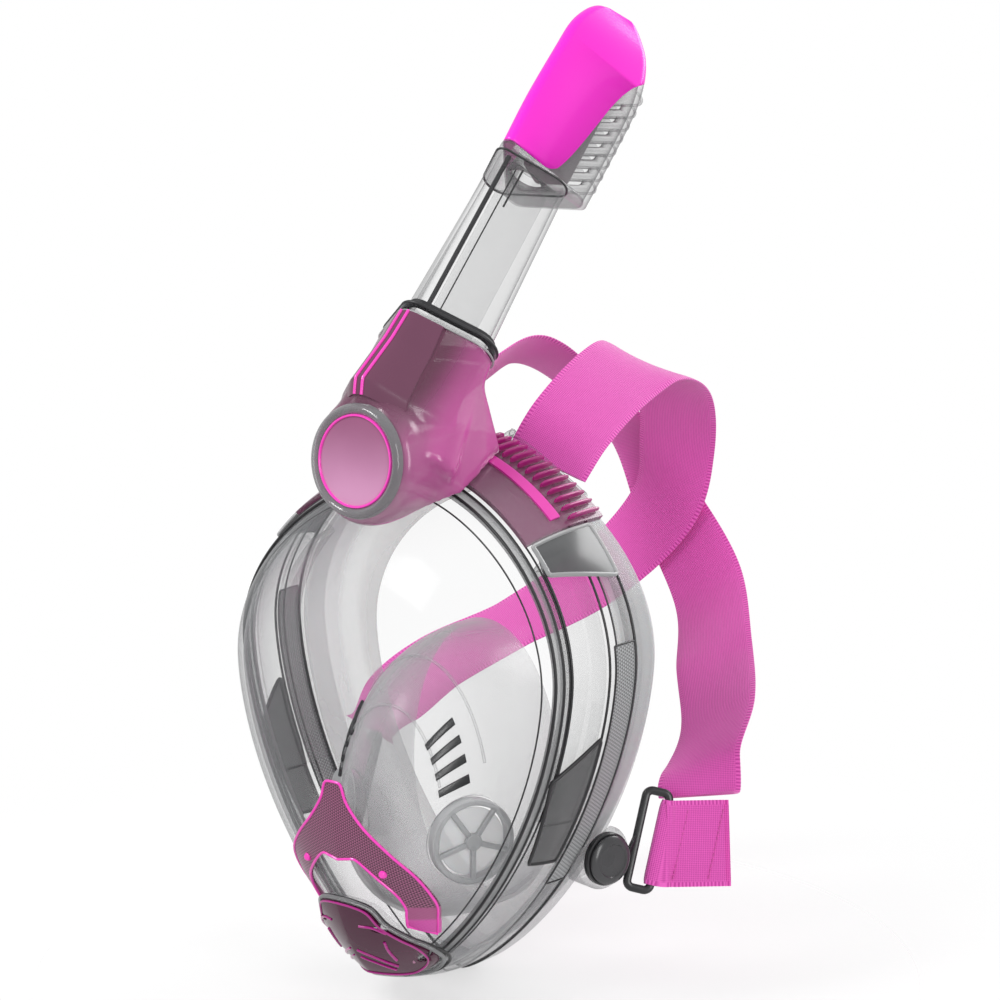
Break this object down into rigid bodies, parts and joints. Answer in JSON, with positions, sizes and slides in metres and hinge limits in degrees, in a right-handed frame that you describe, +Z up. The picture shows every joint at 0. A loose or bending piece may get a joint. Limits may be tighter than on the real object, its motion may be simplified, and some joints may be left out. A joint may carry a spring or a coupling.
{
  "type": "full face snorkel",
  "caption": "Full face snorkel mask with curved clear visor, nose and mouth cup, leaning snorkel tube with float valve dry top, and crossed webbing head harness.",
  "frame": {"origin": "middle of the mask opening, in the plane of the rear frame, where the face comes in", "axes": "+Z up towards the crown and the snorkel, -Y out through the visor, +Y towards the back of the head, +X to the wearer left"},
  "size_m": [0.2384, 0.2724, 0.4559],
  "materials": {
    "clear_lens": "clear moulded polycarbonate, glossy",
    "seal_rubber": "satin grey-black elastomer",
    "silicone": "frosted translucent silicone",
    "pink_clear": "translucent pink moulded plastic, glossy",
    "chin_magenta": "dark translucent magenta plastic, glossy",
    "grey_clear": "smoke grey translucent plastic",
    "black_plastic": "satin black acetal",
    "webbing": "pink woven webbing",
    "cap_pink": "opaque hot pink plastic"
  },
  "bodies": {
    "mask": {"visor_lens": "clear_lens", "visor_rim_seal": "seal_rubber", "main_frame": "clear_lens", "rear_frame_ring": "clear_lens", "face_skirt": "silicone", "crown_band": "pink_clear", "crown_ribs": "pink_clear", "snorkel_socket": "pink_clear", "collar_rim": "clear_lens", "socket_seal": "seal_rubber", "badge_ring": "clear_lens", "badge_disc": "pink_clear", "side_duct_left": "grey_clear", "side_duct_right": "grey_clear", "side_trim_left": "grey_clear", "side_trim_right": "grey_clear", "duct_window_left": "grey_clear", "duct_window_right": "grey_clear", "duct_block_left": "grey_clear", "duct_block_right": "grey_clear", "oronasal_cup": "silicone", "valve_seat_left": "grey_clear", "valve_seat_right": "grey_clear", "cheek_louvres": "seal_rubber", "nose_trim": "pink_clear", "trim_pegs": "pink_clear", "chin_housing": "clear_lens", "chin_cover": "chin_magenta", "swivel_boss_left": "clear_lens", "swivel_boss_right": "clear_lens", "hub_cap_left": "black_plastic", "hub_cap_right": "black_plastic", "strap_a": "webbing", "strap_b": "webbing", "cross_patch": "webbing"},
    "snorkel": {"snorkel_tube": "clear_lens", "tube_divider": "grey_clear", "tube_stop": "seal_rubber", "drytop_seat": "clear_lens", "drytop_chamber": "clear_lens", "drytop_vents": "clear_lens", "drytop_cap": "cap_pink", "float_port": "clear_lens"},
    "float": {"float": "grey_clear", "float_seal": "seal_rubber"},
    "latch": {"release_tab": "black_plastic"},
    "flap_left": {"inhale_flap_left": "silicone"},
    "flap_right": {"inhale_flap_right": "silicone"},
    "drain_flap": {"chin_flap": "silicone"},
    "clip_left": {"buckle_left": "black_plastic", "strap_tail_left": "webbing"},
    "clip_right": {"buckle_right": "black_plastic", "strap_tail_right": "webbing"}
  },
  "joints": [
    {"name": "snorkel_slide", "type": "slide", "parent": "mask", "child": "snorkel", "axis": [0, 0.6884, 0.7254], "range_m": [0, 0.03]},
    {"name": "float_slide", "type": "slide", "parent": "snorkel", "child": "float", "axis": [0, 0.6884, 0.7254], "range_m": [0, 0.009]},
    {"name": "latch_press", "type": "hinge", "parent": "mask", "child": "latch", "pos_m": [0, -0.02523, 0.15611], "axis": [-1, 0, 0], "range_deg": [0, 10], "stiffness_Nm_per_rad": 0.3},
    {"name": "inhale_left", "type": "slide", "parent": "mask", "child": "flap_left", "axis": [-0.866, 0.5, 0], "range_m": [0, 0.0015], "stiffness_N_per_m": 60},
    {"name": "inhale_right", "type": "slide", "parent": "mask", "child": "flap_right", "axis": [0.866, 0.5, 0], "range_m": [0, 0.0015], "stiffness_N_per_m": 60},
    {"name": "drain_lift", "type": "slide", "parent": "mask", "child": "drain_flap", "axis": [0, -0.829, -0.5592], "range_m": [0, 0.0015], "stiffness_N_per_m": 60},
    {"name": "clip_swivel_left", "type": "hinge", "parent": "mask", "child": "clip_left", "pos_m": [0.066, 0, -0.062], "axis": [0.9659, -0.2588, 0], "range_deg": [-25, 2]},
    {"name": "clip_swivel_right", "type": "hinge", "parent": "mask", "child": "clip_right", "pos_m": [-0.066, 0, -0.062], "axis": [-0.9659, -0.2588, 0], "range_deg": [-2, 25]}
  ]
}
